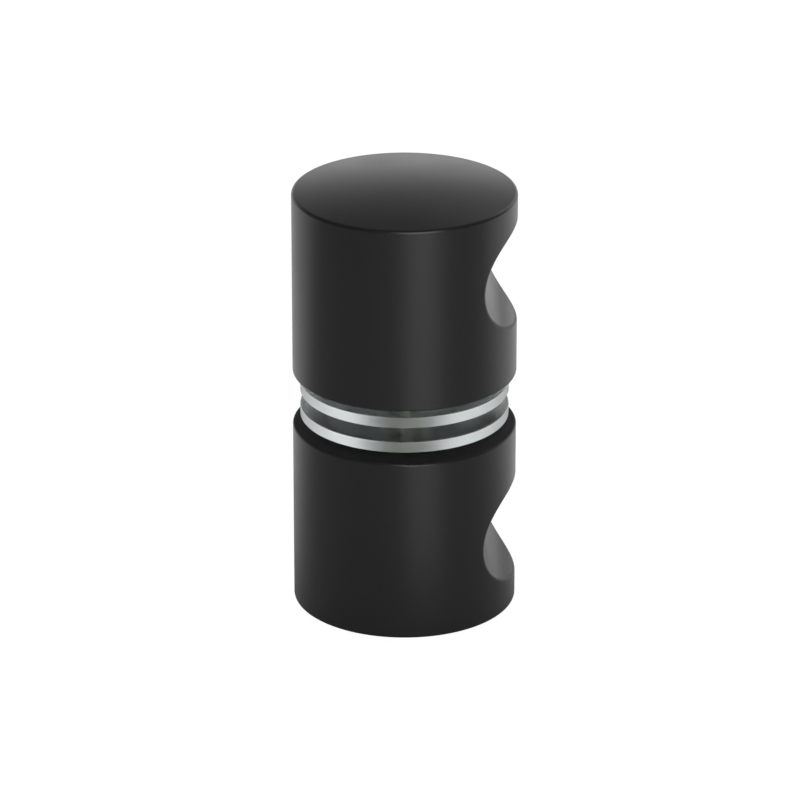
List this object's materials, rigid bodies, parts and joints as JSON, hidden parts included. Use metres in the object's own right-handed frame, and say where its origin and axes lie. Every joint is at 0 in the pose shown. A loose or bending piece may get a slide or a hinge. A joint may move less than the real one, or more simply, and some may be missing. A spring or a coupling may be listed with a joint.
{
  "type": "back-to-back shower door knob",
  "caption": "Matt black round shower door knobs, back to back on a stud, with crowned ends, a finger groove across the side, and clear washers and a clear sleeve for the glass.",
  "frame": {"origin": "on the stud's axis, in the middle of the space for the glass", "axes": "+Z along the stud towards the outside knob, +X out of the finger grooves"},
  "size_m": [0.03, 0.03, 0.0602],
  "materials": {
    "knob_coat": "matt",
    "stud_steel": "plain",
    "clear_plastic": "clear"
  },
  "bodies": {
    "root": {"outside_knob": "knob_coat", "inside_knob": "knob_coat", "clamp_stud": "stud_steel", "hole_sleeve": "clear_plastic", "outside_washer": "clear_plastic", "inside_washer": "clear_plastic"}
  },
  "joints": []
}
